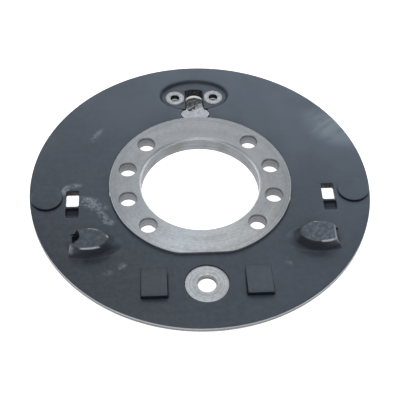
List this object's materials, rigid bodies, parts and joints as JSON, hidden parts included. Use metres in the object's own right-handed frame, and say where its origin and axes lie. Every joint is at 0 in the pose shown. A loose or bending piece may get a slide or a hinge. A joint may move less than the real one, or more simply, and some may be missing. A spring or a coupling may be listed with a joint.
{
  "type": "drum brake backing plate",
  "caption": "Round pressed-steel drum brake backing plate with a machined bolt-on hub ring, anchor pin seat, wheel cylinder recess, cable hoods and shoe rests.",
  "frame": {"origin": "on the hub axis, level with the lowest face of the hub spigot", "axes": "+Z out of the brake side of the plate, +Y towards the wheel cylinder seats, -Y towards the anchor pin seat"},
  "size_m": [0.34, 0.34, 0.025],
  "materials": {
    "plate_paint": "dark slate semi-gloss paint, scuffed, blanked rim left bare",
    "machined_steel": "turned, faint concentric marks",
    "ground_steel": "ground bare at the root, speckled with old paint lower down",
    "weld_bead": "rippled weld bead under the same paint"
  },
  "bodies": {
    "root": {"backing_plate": "plate_paint", "hub_flange": "machined_steel", "hub_weld_1": "weld_bead", "hub_weld_2": "weld_bead", "hub_weld_3": "weld_bead", "hub_weld_4": "weld_bead", "hub_weld_5": "weld_bead", "hub_weld_6": "weld_bead", "anchor_pin_seat": "machined_steel", "cylinder_seat_right": "machined_steel", "cylinder_seat_left": "machined_steel", "port_tongue": "ground_steel", "cable_hood_right": "plate_paint", "cable_hood_left": "plate_paint", "shoe_rest_pad_right": "plate_paint", "shoe_rest_pad_left": "plate_paint", "shoe_rest_tab_right": "plate_paint", "shoe_rest_tab_left": "plate_paint"}
  },
  "joints": []
}
